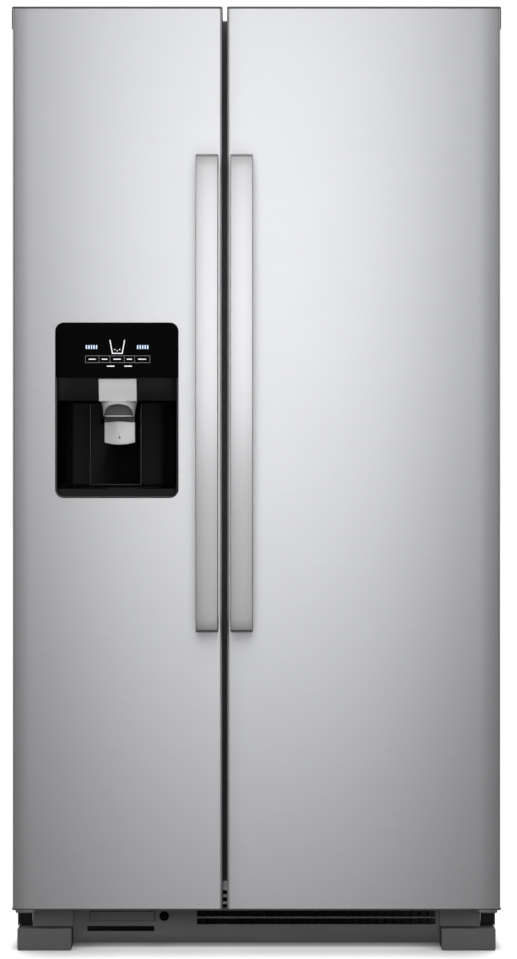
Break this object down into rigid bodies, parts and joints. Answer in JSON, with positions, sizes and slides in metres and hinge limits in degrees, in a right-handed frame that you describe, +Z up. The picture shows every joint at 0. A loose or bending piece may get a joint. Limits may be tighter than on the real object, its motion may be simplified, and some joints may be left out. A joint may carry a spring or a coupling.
{
  "type": "side by side refrigerator",
  "caption": "Tall steel-fronted refrigerator with a freezer door on the left, a fridge door on the right, bow handles and an ice and water dispenser.",
  "frame": {"origin": "on the floor, under the middle of the whole appliance", "axes": "+Z up, doors face -Y, +X to the right of someone facing the doors"},
  "size_m": [0.9, 0.8569, 1.751],
  "materials": {
    "brushed_steel": "satin",
    "handle_steel": "satin",
    "side_paint": "satin",
    "galvanised": "satin",
    "black_steel": "satin",
    "foam": "matte",
    "liner_plastic": "gloss",
    "grey_plastic": "satin",
    "cap_plastic": "satin",
    "gloss_black": "gloss",
    "black_plastic": "satin",
    "silver_plastic": "satin",
    "rubber_grey": "matte",
    "clear_plastic": "gloss",
    "shelf_glass": "gloss",
    "white_wire": "gloss",
    "copper": "satin",
    "zinc_steel": "satin",
    "filter_white": "satin",
    "roller_plastic": "satin"
  },
  "bodies": {
    "cabinet": {"cabinet_shell": "side_paint", "cabinet_back_panel": "galvanised", "base_frame": "galvanised", "cabinet_insulation": "foam", "freezer_liner": "liner_plastic", "fridge_liner": "liner_plastic", "mullion_cover": "side_paint", "hinge_brackets": "zinc_steel", "hinge_covers": "cap_plastic", "brake_feet": "grey_plastic", "base_grille": "grey_plastic", "filter_cap": "grey_plastic", "water_filter": "filter_white", "freezer_shelves": "white_wire", "evaporator_cover": "liner_plastic", "evaporator_coil": "copper", "ice_maker": "liner_plastic", "ice_bin": "clear_plastic", "fridge_shelf_glass": "shelf_glass", "fridge_shelf_frames": "liner_plastic", "control_housing": "liner_plastic", "compressor": "black_steel", "condenser": "black_steel", "drain_pan": "black_plastic", "machine_cover": "galvanised", "water_inlet_valve": "filter_white", "power_inlet": "black_plastic"},
    "freezer_door": {"freezer_door_skin": "brushed_steel", "freezer_door_foam": "foam", "freezer_door_liner": "liner_plastic", "freezer_door_caps": "cap_plastic", "freezer_door_gasket": "rubber_grey", "freezer_door_handle": "handle_steel", "freezer_door_bins": "clear_plastic", "dispenser_housing": "black_plastic", "control_panel": "gloss_black", "ice_chute_cover": "silver_plastic", "drip_tray": "black_plastic"},
    "fridge_door": {"fridge_door_skin": "brushed_steel", "fridge_door_foam": "foam", "fridge_door_liner": "liner_plastic", "fridge_door_caps": "cap_plastic", "fridge_door_gasket": "rubber_grey", "fridge_door_handle": "handle_steel", "fridge_door_bins": "clear_plastic"},
    "dispenser_lever": {"dispenser_paddle": "silver_plastic"},
    "butter_flap": {"dairy_flap": "clear_plastic"},
    "freezer_low_drawer": {"freezer_lower_basket": "clear_plastic"},
    "freezer_high_drawer": {"freezer_upper_basket": "clear_plastic"},
    "crisper_low": {"lower_crisper": "clear_plastic"},
    "crisper_high": {"upper_crisper": "clear_plastic"},
    "meat_tray": {"meat_drawer": "clear_plastic"},
    "freezer_switch": {"freezer_light_switch": "liner_plastic"},
    "fridge_switch": {"fridge_light_switch": "liner_plastic"},
    "front_wheels": {"front_rollers": "roller_plastic"},
    "rear_wheels": {"rear_rollers": "roller_plastic"},
    "cold_fan": {"evaporator_fan": "black_plastic"},
    "warm_fan": {"condenser_fan": "black_plastic"},
    "auger": {"ice_auger": "zinc_steel"},
    "eject_button": {"filter_eject_button": "grey_plastic"}
  },
  "joints": [
    {"name": "freezer_door_hinge", "type": "hinge", "parent": "cabinet", "child": "freezer_door", "pos_m": [-0.426, -0.336, 0.9], "axis": [0, 0, -1], "range_deg": [0, 130]},
    {"name": "fridge_door_hinge", "type": "hinge", "parent": "cabinet", "child": "fridge_door", "pos_m": [0.426, -0.336, 0.9], "axis": [0, 0, 1], "range_deg": [0, 130]},
    {"name": "dispenser_paddle_pivot", "type": "hinge", "parent": "freezer_door", "child": "dispenser_lever", "pos_m": [-0.256, -0.3, 0.989], "axis": [1, 0, 0], "range_deg": [0, 12], "stiffness_Nm_per_rad": 0.4, "springref_deg": -11.46},
    {"name": "dairy_flap_pivot", "type": "hinge", "parent": "fridge_door", "child": "butter_flap", "pos_m": [0.188, -0.218, 1.634], "axis": [1, 0, 0], "range_deg": [0, 80]},
    {"name": "freezer_lower_basket_slide", "type": "slide", "parent": "cabinet", "child": "freezer_low_drawer", "axis": [0, -1, 0], "range_m": [0, 0.2]},
    {"name": "freezer_upper_basket_slide", "type": "slide", "parent": "cabinet", "child": "freezer_high_drawer", "axis": [0, -1, 0], "range_m": [0, 0.2]},
    {"name": "lower_crisper_slide", "type": "slide", "parent": "cabinet", "child": "crisper_low", "axis": [0, -1, 0], "range_m": [0, 0.2]},
    {"name": "upper_crisper_slide", "type": "slide", "parent": "cabinet", "child": "crisper_high", "axis": [0, -1, 0], "range_m": [0, 0.2]},
    {"name": "meat_drawer_slide", "type": "slide", "parent": "cabinet", "child": "meat_tray", "axis": [0, -1, 0], "range_m": [0, 0.2]},
    {"name": "freezer_light_switch_travel", "type": "slide", "parent": "cabinet", "child": "freezer_switch", "axis": [0, -1, 0], "range_m": [0, 0.007]},
    {"name": "fridge_light_switch_travel", "type": "slide", "parent": "cabinet", "child": "fridge_switch", "axis": [0, -1, 0], "range_m": [0, 0.007]},
    {"name": "front_rollers_turn", "type": "hinge", "parent": "cabinet", "child": "front_wheels", "pos_m": [0, -0.2, 0.019], "axis": [1, 0, 0], "continuous": true},
    {"name": "rear_rollers_turn", "type": "hinge", "parent": "cabinet", "child": "rear_wheels", "pos_m": [0, 0.385, 0.022], "axis": [1, 0, 0], "continuous": true},
    {"name": "evaporator_fan_spin", "type": "hinge", "parent": "cabinet", "child": "cold_fan", "pos_m": [-0.245, 0.328, 1.02], "axis": [0, 1, 0], "continuous": true},
    {"name": "condenser_fan_spin", "type": "hinge", "parent": "cabinet", "child": "warm_fan", "pos_m": [-0.07, 0.31, 0.155], "axis": [1, 0, 0], "continuous": true},
    {"name": "ice_auger_spin", "type": "hinge", "parent": "cabinet", "child": "auger", "pos_m": [-0.247, 0.04, 1.195], "axis": [0, 1, 0], "continuous": true},
    {"name": "filter_eject_button_travel", "type": "slide", "parent": "cabinet", "child": "eject_button", "axis": [0, 1, 0], "range_m": [0, 0.006], "stiffness_N_per_m": 400, "springref_m": -0.002}
  ],
  "couplings": [
    {"joint": "freezer_lower_basket_slide", "follows": "freezer_door_hinge", "m_per_rad": 0.088},
    {"joint": "freezer_upper_basket_slide", "follows": "freezer_door_hinge", "m_per_rad": 0.088},
    {"joint": "lower_crisper_slide", "follows": "fridge_door_hinge", "m_per_rad": 0.088},
    {"joint": "upper_crisper_slide", "follows": "fridge_door_hinge", "m_per_rad": 0.088},
    {"joint": "meat_drawer_slide", "follows": "fridge_door_hinge", "m_per_rad": 0.088},
    {"joint": "freezer_light_switch_travel", "follows": "freezer_door_hinge", "m_per_rad": 0.003},
    {"joint": "fridge_light_switch_travel", "follows": "fridge_door_hinge", "m_per_rad": 0.003}
  ]
}
